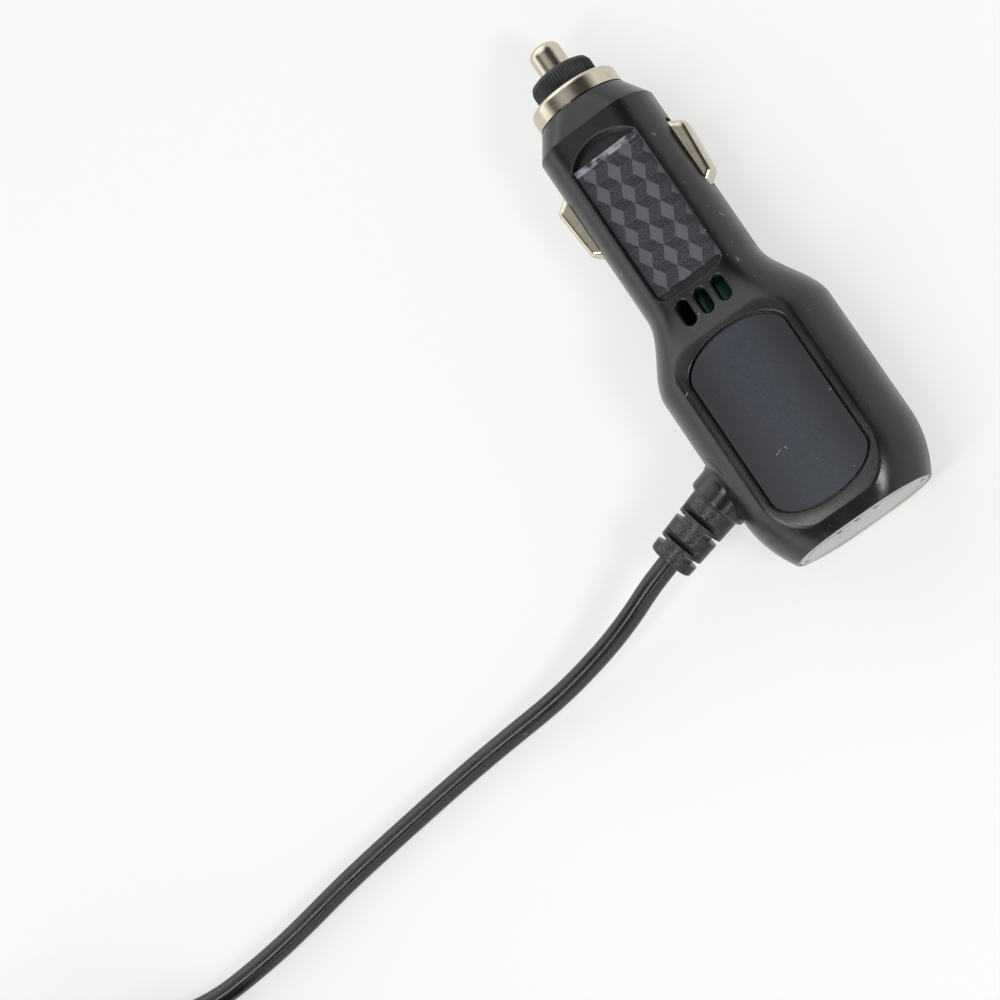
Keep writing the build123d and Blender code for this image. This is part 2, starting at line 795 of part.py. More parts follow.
# Moulded strain relief, held in the boss by its inner flange
with BuildPart() as strain_relief:
    with BuildSketch(relief_plane) as relief_profile:
        with BuildLine():
            neck = relief_neck_diameter / 2
            Polyline(
                (-relief_neck_length, 0),
                (-relief_neck_length, relief_flange_diameter / 2),
                (-relief_neck_length + relief_flange_length, relief_flange_diameter / 2),
                (-relief_neck_length + relief_flange_length, neck),
                (0, neck),
                (0, relief_base_diameter / 2),
                (relief_length, relief_end_diameter / 2),
                (relief_length, 0),
                close=True,
            )
        make_face()
        fillet(relief_profile.vertices().group_by(Axis.X)[-1].sort_by(Axis.Y)[-1], relief_round)
    revolve(axis=relief_axis)
    for distance in relief_top_slots:
        with BuildSketch(relief_plane.offset(relief_core_diameter / 2)):
            with Locations((distance, 0)):
                Rectangle(relief_slot, relief_base_diameter)
        extrude(amount=relief_base_diameter, mode=Mode.SUBTRACT)
        with BuildSketch(relief_plane.offset(-relief_core_diameter / 2)):
            with Locations((distance, 0)):
                Rectangle(relief_slot, relief_base_diameter)
        extrude(amount=-relief_base_diameter, mode=Mode.SUBTRACT)
    with BuildSketch(relief_plane) as side_slots:
        for distance in relief_side_slots:
            with Locations((distance, 0)):
                Rectangle(relief_slot, 2 * relief_base_diameter)
                Rectangle(relief_slot, relief_core_diameter, mode=Mode.SUBTRACT)
    extrude(amount=relief_base_diameter, both=True, mode=Mode.SUBTRACT)

# Lead: a hand-laid route from the strain relief down to the surface and along it to the coil
exit_point = relief_base + lead_out * relief_length
lead_radius = lead_diameter / 2
lead_route = [
    exit_point,
    exit_point + lead_out * lead_first_run,
    Vector(-12.9, 47.0, 4.9),
    Vector(-13.7, 58.0, 2.2),
    Vector(-15.4, 70.5, lead_radius),
    Vector(-17.2, 86.0, lead_radius),
    Vector(-19.6, 102.0, lead_radius),
    Vector(-21.5, 118.0, lead_radius),
    Vector(-21.6, 131.0, lead_radius),
    Vector(*coil_entry_from, lead_radius),
    Vector(*coil_entry, lead_radius),
]


def tube_along(route, diameter, name):
    """Round tube on straight runs joined by tangent arcs, as large as the runs allow."""
    runs = [b - a for a, b in zip(route, route[1:])]
    radii = []
    for first, second in zip(runs, runs[1:]):
        half_turn = radians(first.get_angle(second)) / 2
        radii.append(bend_share * min(first.length, second.length) / tan(half_turn))
    with BuildPart() as tube:
        with BuildLine() as path:
            FilletPolyline(*route, radius=radii)
        with BuildSketch(Plane(origin=path.line @ 0, z_dir=path.line % 0)):
            Circle(diameter / 2)
        sweep(path=path.line)
    length = sum(edge.length for edge in path.edges())
    expected = pi * diameter ** 2 / 4 * length
    print(name, "radii", [round(r, 1) for r in radii], "length", round(length, 1))
    print(name, "volume over section times length", round(tube.part.volume / expected, 4))
    return tube.part


with BuildPart() as lead:
    add(tube_along(lead_route, lead_diameter, "lead"))

# Coil of the put-away length, wound from its outermost bottom turn
entry_run = Vector(*coil_entry) - Vector(*coil_entry_from)
entry_heading = atan2(entry_run.Y, entry_run.X)
outer_turn = coil_mean_diameter / 2 + (coil_columns - 1) * lead_radius
coil_x = coil_entry[0] - outer_turn * sin(entry_heading)
coil_y = coil_entry[1] + outer_turn * cos(entry_heading)
coil_axis = Axis((coil_x, coil_y, 0), (0, 0, 1))
coil_height = coil_layers * lead_diameter
coil_half_width = coil_columns * lead_radius


def coil_plane(angle):
    """Upright plane through the coil's axis: first coordinate outwards, second up."""
    turn = radians(angle)
    outwards = (cos(turn), sin(turn), 0)
    return Plane(origin=(coil_x, coil_y, 0), x_dir=outwards, z_dir=(sin(turn), -cos(turn), 0))


with BuildPart() as lead_coil:
    with BuildSketch(coil_plane(0)):
        with Locations((coil_mean_diameter / 2, coil_height / 2)):
            coil_section = Rectangle(2 * coil_half_width, coil_height)
        chamfer(coil_section.vertices(), lead_radius / 2)
    revolve(axis=coil_axis)

# Strap around the coil
tie_sweep = degrees(tie_width / (coil_mean_diameter / 2))
with BuildPart() as coil_tie:
    with BuildSketch(coil_plane(tie_angle)):
        with Locations((coil_mean_diameter / 2, (coil_height + tie_thickness) / 2)):
            RectangleRounded(
                2 * (coil_half_width + tie_thickness),
                coil_height + tie_thickness,
                lead_radius,
            )
        with Locations((coil_mean_diameter / 2, (coil_height + tie_thickness) / 2)):
            RectangleRounded(
                2 * coil_half_width,
                coil_height - tie_thickness,
                lead_radius - tie_thickness,
                mode=Mode.SUBTRACT,
            )
    revolve(axis=coil_axis, revolution_arc=tie_sweep)

# Last stretch of the lead: it climbs off the coil's inner top turn and straightens into the plug
inner_turn = coil_mean_diameter / 2 - (coil_columns - 1) * lead_radius
tail_foot = coil_height - lead_radius
plug_level = coil_height + plug_rest_gap + plug_height / 2
tail_route = []
for k in range(tail_runs + 1):
    turn = entry_heading - pi / 2 + radians(tail_sweep) * k / tail_runs
    climb = min(1, k / (tail_runs - 1))
    tail_route.append(Vector(
        coil_x + inner_turn * cos(turn),
        coil_y + inner_turn * sin(turn),
        tail_foot + (plug_level - tail_foot) * climb,
    ))
with BuildPart() as lead_tail:
    add(tube_along(tail_route, lead_diameter, "lead_tail"))

# Small plug on the lead's end, lying on the coil
plug_heading = (tail_route[-1] - tail_route[-2]).normalized()
plug_frame = Plane(origin=tail_route[-1], x_dir=(-plug_heading.Y, plug_heading.X, 0), z_dir=plug_heading)

with BuildPart() as lead_plug_body:
    with BuildSketch(plug_frame):
        Circle(plug_relief_tip / 2)
    with BuildSketch(plug_frame.offset(plug_relief_length)):
        Circle(plug_relief_base / 2)
    loft()
    with BuildSketch(plug_frame.offset(plug_relief_length)):
        RectangleRounded(plug_width, plug_height, plug_round)
    extrude(amount=plug_length)

plug_mouth = plug_frame.offset(plug_relief_length + plug_length)
with BuildPart() as lead_plug_shell:
    with BuildSketch(plug_mouth):
        Rectangle(plug_shell_width, plug_shell_height)
        Rectangle(
            plug_shell_width - 2 * plug_shell_wall,
            plug_shell_height - 2 * plug_shell_wall,
            mode=Mode.SUBTRACT,
        )
    extrude(amount=plug_shell_length)

with BuildPart() as lead_plug_tongue:
    with BuildSketch(plug_mouth):
        Rectangle(plug_tongue_width, plug_tongue_thickness)
    extrude(amount=plug_shell_length - plug_tongue_sink)

# Every finished piece goes to its own file
pieces = {
    "housing_upper": housing_upper,
    "housing_lower": housing_lower,
    "nose_ring": nose_ring,
    "nose_cap": nose_cap,
    "centre_tip": centre_tip,
    "tip_spring": tip_spring,
    "fuse_glass": fuse_glass,
    "fuse_caps": fuse_caps,
    "fuse_wire": fuse_wire,
    "fuse_terminal": fuse_terminal,
    "contact_left": contact_left,
    "contact_right": contact_right,
    "contact_spring_left": contact_spring_left,
    "contact_spring_right": contact_spring_right,
    "grip_inlay": grip_inlay,
    "head_panel": head_panel,
    "main_board": main_board,
    "converter_chip": converter_chip,
    "inductor_core": inductor_core,
    "inductor_winding": inductor_winding,
    "capacitor_input": capacitor_input,
    "capacitor_output": capacitor_output,
    "end_plate": end_plate,
    "strain_relief": strain_relief,
    "lead": lead,
    "lead_coil": lead_coil,
    "lead_tail": lead_tail,
    "coil_tie": coil_tie,
    "lead_plug_body": lead_plug_body,
    "lead_plug_shell": lead_plug_shell,
    "lead_plug_tongue": lead_plug_tongue,
}
for name, piece in pieces.items():
    piece.part.label = name
    export_step(piece.part, f"parts/{name}.step")
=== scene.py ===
from math import cos, pi, radians, sin, sqrt

import bmesh
import bpy
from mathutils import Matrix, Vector, noise


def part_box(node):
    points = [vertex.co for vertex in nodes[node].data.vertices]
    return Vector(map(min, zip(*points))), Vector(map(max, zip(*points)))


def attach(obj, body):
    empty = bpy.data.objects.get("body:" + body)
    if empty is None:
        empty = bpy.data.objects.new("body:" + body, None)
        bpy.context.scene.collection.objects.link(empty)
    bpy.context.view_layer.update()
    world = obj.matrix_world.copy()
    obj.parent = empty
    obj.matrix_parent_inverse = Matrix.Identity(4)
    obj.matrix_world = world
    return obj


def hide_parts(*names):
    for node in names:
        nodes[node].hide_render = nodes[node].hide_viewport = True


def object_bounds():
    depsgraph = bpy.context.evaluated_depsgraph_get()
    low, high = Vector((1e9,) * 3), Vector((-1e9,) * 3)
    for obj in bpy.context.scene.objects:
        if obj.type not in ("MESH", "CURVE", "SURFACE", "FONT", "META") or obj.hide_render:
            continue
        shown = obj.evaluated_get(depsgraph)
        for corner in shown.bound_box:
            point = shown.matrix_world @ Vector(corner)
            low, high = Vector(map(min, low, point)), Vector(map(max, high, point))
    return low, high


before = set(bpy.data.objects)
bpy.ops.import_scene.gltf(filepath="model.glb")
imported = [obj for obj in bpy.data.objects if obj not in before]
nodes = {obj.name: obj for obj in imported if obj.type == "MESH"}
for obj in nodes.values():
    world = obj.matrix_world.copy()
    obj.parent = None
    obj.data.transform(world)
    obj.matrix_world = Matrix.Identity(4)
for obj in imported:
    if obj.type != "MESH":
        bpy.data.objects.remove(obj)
cad_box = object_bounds()

# Housing: two moulded halves in black plastic, joined at the middle plane and glued.
# The mould gave them a fine satin grain, and they lie as used, with specks of dust on what faces up.


def add_node(tree, kind, inputs=(), **properties):
    """Adds a shader node. Each input is a value, or the socket that feeds it."""
    made = tree.nodes.new("ShaderNode" + kind)
    for name, value in properties.items():
        setattr(made, name, value)
    for key, value in dict(inputs).items():
        if isinstance(value, bpy.types.NodeSocket):
            tree.links.new(value, made.inputs[key])
        else:
            made.inputs[key].default_value = value
    return made


def mix_colours(tree, share, first, second):
    """Colour that goes from the first to the second with a share."""
    return add_node(tree, "Mix", {0: share, 6: first, 7: second}, data_type="RGBA").outputs[2]


def stretch(tree, value, low, high, to_low=0.0, to_high=1.0):
    """Maps a value's range softly to another range."""
    inputs = {"Value": value, "From Min": low, "From Max": high, "To Min": to_low, "To Max": to_high}
    return add_node(tree, "MapRange", inputs, interpolation_type="SMOOTHSTEP").outputs["Result"]


def calculate(tree, operation, first, second):
    """One sum of two values."""
    return add_node(tree, "Math", {0: first, 1: second}, operation=operation).outputs[0]


def calculate_place(tree, operation, first, second=(0, 0, 0)):
    """One sum of two places or directions."""
    return add_node(tree, "VectorMath", {0: first, 1: second}, operation=operation).outputs[0]


def new_group(name, inputs, outputs):
    """Shader node group with named values in and out."""
    tree = bpy.data.node_groups.new(name, "ShaderNodeTree")
    for label, default in inputs.items():
        socket = tree.interface.new_socket(label, in_out="INPUT", socket_type="NodeSocketFloat")
        socket.default_value = default
    for label in outputs:
        tree.interface.new_socket(label, in_out="OUTPUT", socket_type="NodeSocketFloat")
    return tree, tree.nodes.new("NodeGroupInput").outputs, tree.nodes.new("NodeGroupOutput").inputs


def use_group(tree, group, values=()):
    """Places a group in a material with its own values and returns what it puts out."""
    made = add_node(tree, "Group", (), node_tree=group)
    for key, value in dict(values).items():
        made.inputs[key].default_value = value
    return made.outputs


def new_finish(name, roughness, **sockets):
    """New material with a plain shader; returns the material, its tree and the shader's inputs."""
    finish = bpy.data.materials.new(name)
    finish.use_nodes = True
    tree = finish.node_tree
    shader = tree.nodes["Principled BSDF"].inputs
    shader["Roughness"].default_value = roughness
    for label, value in sockets.items():
        shader[label.replace("_", " ")].default_value = value
    return finish, tree, shader


def feed(tree, socket, value):
    """Links a value to one of the shader's inputs."""
    tree.links.new(value, socket)


def raise_skin(tree, shader, height, strength, depth):
    """Bump of a given depth on the surface."""
    inputs = {"Height": height, "Strength": strength, "Distance": depth}
    feed(tree, shader["Normal"], add_node(tree, "Bump", inputs).outputs["Normal"])


def dress(finish, *names):
    """Gives solids of the frame their finish."""
    for name in names:
        nodes[name].material_slots[0].material = finish


# Moulded grain: even fine pits, and a slower unevenness of the gloss
grain, given, out = new_group("moulded_grain", {"Pits": 5200.0, "Drift": 140.0}, ["Height", "Gloss"])
place = add_node(grain, "TexCoord").outputs["Object"]
pits = add_node(grain, "TexNoise", {"Vector": place, "Scale": given["Pits"], "Detail": 2.0})
drift = add_node(grain, "TexNoise", {"Vector": place, "Scale": given["Drift"], "Detail": 4.0})
feed(grain, out["Height"], pits.outputs["Fac"])
feed(grain, out["Gloss"], stretch(grain, drift.outputs["Fac"], 0.3, 0.7))

# Dust: pale specks of uneven size on the faces that look up, a few coarse ones among many fine ones
dust, given, out = new_group("settled_dust", {"Cells": 520.0, "Amount": 0.34, "Size": 0.05}, ["Mask"])
place = add_node(dust, "TexCoord").outputs["Object"]
facing = add_node(dust, "SeparateXYZ", {0: add_node(dust, "NewGeometry").outputs["Normal"]}).outputs["Z"]
lying = stretch(dust, facing, 0.35, 0.7)
specks = []
for finer in (1.0, 2.6):
    cells = calculate(dust, "MULTIPLY", given["Cells"], finer)
    bits = add_node(dust, "TexVoronoi", {"Vector": place, "Scale": cells})
    chance = add_node(dust, "SeparateColor", {"Color": bits.outputs["Color"]}).outputs
    reach = calculate(dust, "MULTIPLY", given["Size"], stretch(dust, chance["Green"], 0.0, 1.0, 0.4, 2.0))
    speck = calculate(dust, "LESS_THAN", bits.outputs["Distance"], reach)
    chosen = calculate(dust, "LESS_THAN", chance["Red"], given["Amount"])
    bright = calculate(dust, "MULTIPLY", speck, stretch(dust, chance["Blue"], 0.0, 1.0, 0.15, 1.0))
    specks.append(calculate(dust, "MULTIPLY", bright, chosen))
feed(dust, out["Mask"], calculate(dust, "MULTIPLY", calculate(dust, "MAXIMUM", *specks), lying))

HOUSING_BLACK = (0.0070, 0.0070, 0.0076, 1)
HOUSING_SHEEN = (0.0105, 0.0105, 0.0114, 1)
DUST_GREY = (0.30, 0.30, 0.31, 1)
DUST_DULLNESS = 0.4

housing_finish, tree, shader = new_finish("moulded_black", 0.3)
skin = use_group(tree, grain)
specks = use_group(tree, dust)
plain = mix_colours(tree, skin["Gloss"], HOUSING_BLACK, HOUSING_SHEEN)
feed(tree, shader["Base Color"], mix_colours(tree, specks["Mask"], plain, DUST_GREY))
dulled = stretch(tree, skin["Gloss"], 0.0, 1.0, 0.21, 0.28)
dusty = calculate(tree, "MULTIPLY", specks["Mask"], DUST_DULLNESS)
feed(tree, shader["Roughness"], calculate(tree, "ADD", dulled, dusty))
bumps = {"Height": skin["Height"], "Strength": 0.35, "Distance": 0.00004}
grainy = add_node(tree, "Bump", bumps).outputs["Normal"]

# The land around the oval panel is crowned: it falls away from the panel's edge, ever more, to its ridge
PANEL_STRAIGHT = 0.0105
PANEL_END_RISE = 0.0049
PANEL_HALF_WIDTH = 0.009
CROWN_BEND = 30.0
CROWN_REACH = 0.003
place = add_node(tree, "TexCoord").outputs["Object"]
squashed = calculate_place(tree, "MULTIPLY", place, (1, PANEL_END_RISE / PANEL_HALF_WIDTH, 0))
mirrored = calculate_place(tree, "ABSOLUTE", squashed)
past_side = calculate_place(tree, "SUBTRACT", mirrored, (PANEL_STRAIGHT, 0, 0))
past_side = calculate_place(tree, "MAXIMUM", past_side)
reach = add_node(tree, "VectorMath", {0: past_side}, operation="LENGTH").outputs["Value"]
outside = calculate(tree, "MAXIMUM", calculate(tree, "SUBTRACT", reach, PANEL_END_RISE), 0.0)
outside = calculate(tree, "MINIMUM", outside, CROWN_REACH)
fall = calculate(tree, "MULTIPLY", calculate(tree, "MULTIPLY", outside, outside), -CROWN_BEND)
crown = {"Height": fall, "Strength": 1.0, "Distance": 1.0, "Normal": grainy}
crowned = add_node(tree, "Bump", crown).outputs["Normal"]
upright = add_node(tree, "SeparateXYZ", {0: add_node(tree, "NewGeometry").outputs["Normal"]}).outputs["Z"]
on_land = stretch(tree, upright, 0.97, 0.995)
turned = add_node(tree, "Mix", {0: on_land, 4: grainy, 5: crowned}, data_type="VECTOR").outputs[1]
feed(tree, shader["Normal"], turned)
dress(housing_finish, "housing_upper", "housing_lower")

# Nose: a nickel-plated brass ring trapped between the halves, with a turned tip that springs in and out,
# and two stamped side contacts. The plating is bright, warm in tone and lightly scratched by use.
NICKEL = (0.60, 0.548, 0.43, 1)
NICKEL_WORN = (0.42, 0.345, 0.235, 1)

# Scratches: short hair lines along one direction, and the patches where the plating has dulled
scratches, given, out = new_group(
    "hair_scratches",
    {"Along X": 900.0, "Along Y": 900.0, "Along Z": 900.0},
    ["Lines", "Patches"],
)
place = add_node(scratches, "TexCoord").outputs["Object"]
scale = add_node(scratches, "CombineXYZ", {k: given[f"Along {k}"] for k in "XYZ"}).outputs[0]
drawn = calculate_place(scratches, "MULTIPLY", place, scale)
hairs = add_node(scratches, "TexNoise", {"Vector": drawn, "Scale": 1.0, "Detail": 5.0, "Roughness": 0.7})
worn = add_node(scratches, "TexNoise", {"Vector": place, "Scale": 420.0, "Detail": 5.0, "Roughness": 0.65})
feed(scratches, out["Lines"], hairs.outputs["Fac"])
feed(scratches, out["Patches"], stretch(scratches, worn.outputs["Fac"], 0.52, 0.85))


def plated(name, along, bright=NICKEL, dull=NICKEL_WORN):
    """Bright metal with its scratches along a direction."""
    finish, tree, shader = new_finish(name, 0.16, Metallic=1.0)
    marks = use_group(tree, scratches, along)
    feed(tree, shader["Base Color"], mix_colours(tree, marks["Patches"], bright, dull))
    feed(tree, shader["Roughness"], stretch(tree, marks["Lines"], 0.3, 0.7, 0.13, 0.24))
    raise_skin(tree, shader, marks["Lines"], 0.03, 0.00002)
    return finish


turned_finish = plated("turned_nickel", {"Along X": 9000.0, "Along Y": 500.0, "Along Z": 500.0})
dress(turned_finish, "nose_ring", "centre_tip")
contact_finish = plated("stamped_nickel", {"Along X": 900.0, "Along Y": 4000.0, "Along Z": 5000.0})
dress(contact_finish, "contact_left", "contact_right")

# Nose cap: black moulded cap with a knurled rim, screwed into the ring to hold the fuse.
# Its crests are rubbed by fingers and a little lighter.
CAP_BLACK = (0.010, 0.010, 0.011, 1)
CAP_RUBBED = (0.035, 0.035, 0.037, 1)
cap_finish, tree, shader = new_finish("knurled_black", 0.5)
skin = use_group(tree, grain, {"Pits": 4200.0, "Drift": 500.0})
feed(tree, shader["Base Color"], mix_colours(tree, skin["Gloss"], CAP_BLACK, CAP_RUBBED))
raise_skin(tree, shader, skin["Height"], 0.4, 0.00004)
dress(cap_finish, "nose_cap")

# Springs and fuse: drawn steel springs behind the tip and the contacts, and a glass fuse with plated caps
# in the barrel, pressed against a stamped brass terminal.
STEEL = (0.60, 0.60, 0.59, 1)
STEEL_DULL = (0.46, 0.46, 0.45, 1)
even_marks = {"Along X": 2500.0, "Along Y": 2500.0, "Along Z": 2500.0}
steel_finish = plated("drawn_steel", even_marks, STEEL, STEEL_DULL)
dress(steel_finish, "tip_spring", "contact_spring_left", "contact_spring_right", "fuse_caps", "fuse_wire")

glass_finish, tree, shader = new_finish("fuse_tube_glass", 0.03, Transmission_Weight=1.0, IOR=1.5)
film_of_dust = use_group(tree, grain, {"Pits": 900.0, "Drift": 300.0})
feed(tree, shader["Roughness"], stretch(tree, film_of_dust["Gloss"], 0.0, 1.0, 0.02, 0.08))
dress(glass_finish, "fuse_glass")

BRASS = (0.70, 0.50, 0.22, 1)
BRASS_DULL = (0.42, 0.27, 0.11, 1)
brass_finish, tree, shader = new_finish("stamped_brass", 0.3, Metallic=1.0)
marks = use_group(tree, scratches)
feed(tree, shader["Base Color"], mix_colours(tree, marks["Patches"], BRASS, BRASS_DULL))
raise_skin(tree, shader, marks["Lines"], 0.2, 0.00003)
dress(brass_finish, "fuse_terminal")

# Circuit board: glass-fibre board under green solder mask, with its chip, inductor and capacitors.
# It lies between the halves, and its green shows through the vents.
BOARD_GREEN = (0.002, 0.035, 0.015, 1)
TRACE_GREEN = (0.012, 0.19, 0.085, 1)
TRACE_SCALE = 70.0
board_finish, tree, shader = new_finish("solder_mask", 0.3)
place = add_node(tree, "TexCoord").outputs["Object"]
wandering = {"Vector": place, "Scale": TRACE_SCALE, "Distortion": 2.0}
runs = add_node(tree, "TexWave", wandering, bands_direction="Y").outputs["Fac"]
traces = stretch(tree, runs, 0.55, 0.65)
feed(tree, shader["Base Color"], mix_colours(tree, traces, BOARD_GREEN, TRACE_GREEN))
raise_skin(tree, shader, traces, 0.5, 0.00004)
dress(board_finish, "main_board")


def grained(name, colour, lighter, roughness, pits, **sockets):
    """Plain moulded or sintered finish with a grain and an uneven tone."""
    finish, tree, shader = new_finish(name, roughness, **sockets)
    skin = use_group(tree, grain, {"Pits": pits})
    feed(tree, shader["Base Color"], mix_colours(tree, skin["Gloss"], colour, lighter))
    raise_skin(tree, shader, skin["Height"], 0.3, 0.00004)
    return finish


chip_finish = grained("chip_epoxy", (0.012, 0.012, 0.012, 1), (0.02, 0.02, 0.021, 1), 0.55, 6000.0)
dress(chip_finish, "converter_chip")
ferrite_finish = grained("sintered_ferrite", (0.04, 0.04, 0.043, 1), (0.06, 0.06, 0.062, 1), 0.6, 3000.0)
dress(ferrite_finish, "inductor_core")
can_finish = grained("drawn_can", (0.70, 0.70, 0.72, 1), (0.8, 0.8, 0.81, 1), 0.28, 2500.0, Metallic=1.0)
dress(can_finish, "capacitor_input", "capacitor_output")

WIRE_COPPER = (0.50, 0.17, 0.06, 1)
WIRE_GROOVE_SHADE = (0.20, 0.06, 0.02, 1)
WIRE_SCALE = 900.0
winding_finish, tree, shader = new_finish("enamelled_winding", 0.25, Metallic=0.8)
place = add_node(tree, "TexCoord").outputs["Object"]
side_by_side = {"Vector": place, "Scale": WIRE_SCALE}
# Darker in the grooves between the turns: painted shade.
turns_of_wire = add_node(tree, "TexWave", side_by_side, bands_direction="Z").outputs["Fac"]
feed(tree, shader["Base Color"], mix_colours(tree, turns_of_wire, WIRE_GROOVE_SHADE, WIRE_COPPER))
raise_skin(tree, shader, turns_of_wire, 0.8, 0.0001)
dress(winding_finish, "inductor_winding")

# End plate: a pale grey moulded plate that closes the head's end, pressed into its pocket.
# Slits run along its upper and lower edge, and its face has a fine even grain.
plate_finish = grained("plate_grey", (0.44, 0.46, 0.43, 1), (0.52, 0.54, 0.51, 1), 0.45, 2200.0)
dress(plate_finish, "end_plate")

# Patterned film: a printed plastic strip with tumbling blocks in greys, glued to the floor of the barrel's
# recess. Its nose end has come up a little, and a broken pale strip along it is a painted highlight.
FILM_BLOCK = 0.00227
FILM_ROW = FILM_BLOCK * sqrt(3)
FILM_FIRST_ROW = 0.00354
FILM_SIDE_SHIFT = 0.0005
FILM_LIFT = 0.00045
FILM_LIFTED = 0.0011
FILM_LINE = 0.00004
FILM_TONES = [(0.089, 0.091, 0.104, 1), (0.0135, 0.0145, 0.018, 1), (0.022, 0.023, 0.028, 1)]
FILM_LINE_GREY = (0.070, 0.072, 0.082, 1)
FILM_RUBBED = (0.20, 0.20, 0.22, 1)
FILM_EDGE_HIGHLIGHT = (0.30, 0.31, 0.34, 1)

film_low, film_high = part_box("grip_inlay")
film = bmesh.new()
tone = film.faces.layers.float.new("tone")


def film_block(across, along, shade, corners):
    """One printed block, with its corners in block widths across and rows along."""
    points = []
    for u, v in corners:
        spot = (film_high.x - along - v * FILM_ROW, across + u * FILM_BLOCK, film_high.z)
        points.append(film.verts.new(spot))
    film.faces.new(points)[tone] = shade


columns = range(-4, 3)
rows = range(-3, 8)
for column in columns:
    for row in rows:
        across = FILM_SIDE_SHIFT + column * 1.5 * FILM_BLOCK
        along = FILM_FIRST_ROW + (row - (column % 2) / 2) * FILM_ROW
        film_block(across, along, 0, [(-0.5, 0), (0, 0.5), (0.5, 0), (0, -0.5)])
        film_block(across, along, 1, [(0.5, 0), (0, 0.5), (1, 0.5), (1.5, 0)])
        film_block(across, along, 2, [(0, 0.5), (0.5, 1), (1.5, 1), (1, 0.5)])
bmesh.ops.remove_doubles(film, verts=film.verts, dist=FILM_BLOCK / 100)
for line in bmesh.ops.inset_individual(film, faces=film.faces[:], thickness=FILM_LINE)["faces"]:
    line[tone] = 3


def trim_film(point, normal):
    """Cuts away what lies outside a plane."""
    whole = film.verts[:] + film.edges[:] + film.faces[:]
    bmesh.ops.bisect_plane(film, geom=whole, plane_co=point, plane_no=normal, clear_outer=True)


trim_film(film_high, (1, 0, 0))
trim_film(film_low, (-1, 0, 0))
trim_film(film_high, (0, 1, 0))
trim_film(film_low, (0, -1, 0))
for share in (0.25, 0.5, 0.75, 1.0):
    whole = film.verts[:] + film.edges[:] + film.faces[:]
    cut = film_high - Vector((share * FILM_LIFTED, 0, 0))
    bmesh.ops.bisect_plane(film, geom=whole, plane_co=cut, plane_no=(1, 0, 0))
edge_loop = [edge for edge in film.edges if edge.is_boundary]
skirt = bmesh.ops.extrude_edge_only(film, edges=edge_loop)["geom"]
for corner in skirt:
    if isinstance(corner, bmesh.types.BMVert):
        corner.co.z = film_low.z
bmesh.ops.contextual_create(film, geom=[edge for edge in film.edges if edge.is_boundary])
for corner in film.verts:
    curl = max(0, 1 - (film_high.x - corner.co.x) / FILM_LIFTED)
    ripple = 0.75 + 0.5 * noise.noise(Vector((0, corner.co.y * 700, 0)))
    corner.co.z += FILM_LIFT * curl * curl * ripple
bmesh.ops.recalc_face_normals(film, faces=film.faces)
film_mesh = bpy.data.meshes.new("patterned_film")
film.to_mesh(film_mesh)
film.free()
film_piece = bpy.data.objects.new("patterned_film", film_mesh)
bpy.context.collection.objects.link(film_piece)

film_finish, tree, shader = new_finish("printed_film", 0.3, Specular_IOR_Level=0.3)
shade = add_node(tree, "Attribute", attribute_name="tone").outputs["Fac"]
skin = use_group(tree, grain, {"Pits": 3800.0, "Drift": 500.0})
first = mix_colours(tree, calculate(tree, "GREATER_THAN", shade, 0.5), FILM_TONES[0], FILM_TONES[1])
printed = mix_colours(tree, calculate(tree, "GREATER_THAN", shade, 1.5), first, FILM_TONES[2])
printed = mix_colours(tree, calculate(tree, "GREATER_THAN", shade, 2.5), printed, FILM_LINE_GREY)
rubbed = mix_colours(tree, stretch(tree, skin["Height"], 0.3, 0.8, 0.0, 0.25), printed, FILM_RUBBED)
place = add_node(tree, "TexCoord").outputs["Object"]
to_nose = add_node(tree, "SeparateXYZ", {0: place}).outputs["X"]
# Broken pale strip along the lifted nose edge: painted highlight.
edge = stretch(tree, to_nose, film_high.x - FILM_LIFTED, film_high.x - FILM_LIFTED * 0.7)
broken = add_node(tree, "TexNoise", {"Vector": place, "Scale": 380.0, "Detail": 3.0}).outputs["Fac"]
highlit_edge = calculate(tree, "MULTIPLY", edge, stretch(tree, broken, 0.42, 0.58))
feed(tree, shader["Base Color"], mix_colours(tree, highlit_edge, rubbed, FILM_EDGE_HIGHLIGHT))
raise_skin(tree, shader, skin["Height"], 0.3, 0.00004)
film_mesh.materials.append(film_finish)
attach(film_piece, "housing")
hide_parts("grip_inlay")

# Head panel: an oval panel in dark blue-grey plastic with a satin face, glued into the head's recess.
# Its colour is painted with a blue sheen along the middle and painted shade to near black at the long sides.
PANEL_BLUE = (0.023, 0.027, 0.036, 1)
PANEL_LIGHT = (0.034, 0.038, 0.049, 1)
PANEL_SIDE_SHADE = (0.015, 0.0152, 0.018, 1)
PANEL_SHEEN_REACH = 0.0085
panel_finish, tree, shader = new_finish("panel_satin", 0.33, Specular_IOR_Level=0.4)
skin = use_group(tree, grain, {"Pits": 3600.0, "Drift": 200.0})
specks = use_group(tree, dust, {"Cells": 520.0, "Amount": 0.25, "Size": 0.05})
plain = mix_colours(tree, stretch(tree, skin["Height"], 0.3, 0.7), PANEL_BLUE, PANEL_LIGHT)
place = add_node(tree, "TexCoord").outputs["Object"]
mirrored = calculate_place(tree, "ABSOLUTE", place)
across = add_node(tree, "SeparateXYZ", {0: mirrored}).outputs["Y"]
# Painted sheen and shade: the colour stays blue along the middle and is darkened to near black towards the
# long sides.
plain = mix_colours(tree, stretch(tree, across, PANEL_SHEEN_REACH / 6, PANEL_SHEEN_REACH), plain, PANEL_SIDE_SHADE)
feed(tree, shader["Base Color"], mix_colours(tree, specks["Mask"], plain, DUST_GREY))
raise_skin(tree, shader, skin["Height"], 0.3, 0.00004)
dress(panel_finish, "head_panel")

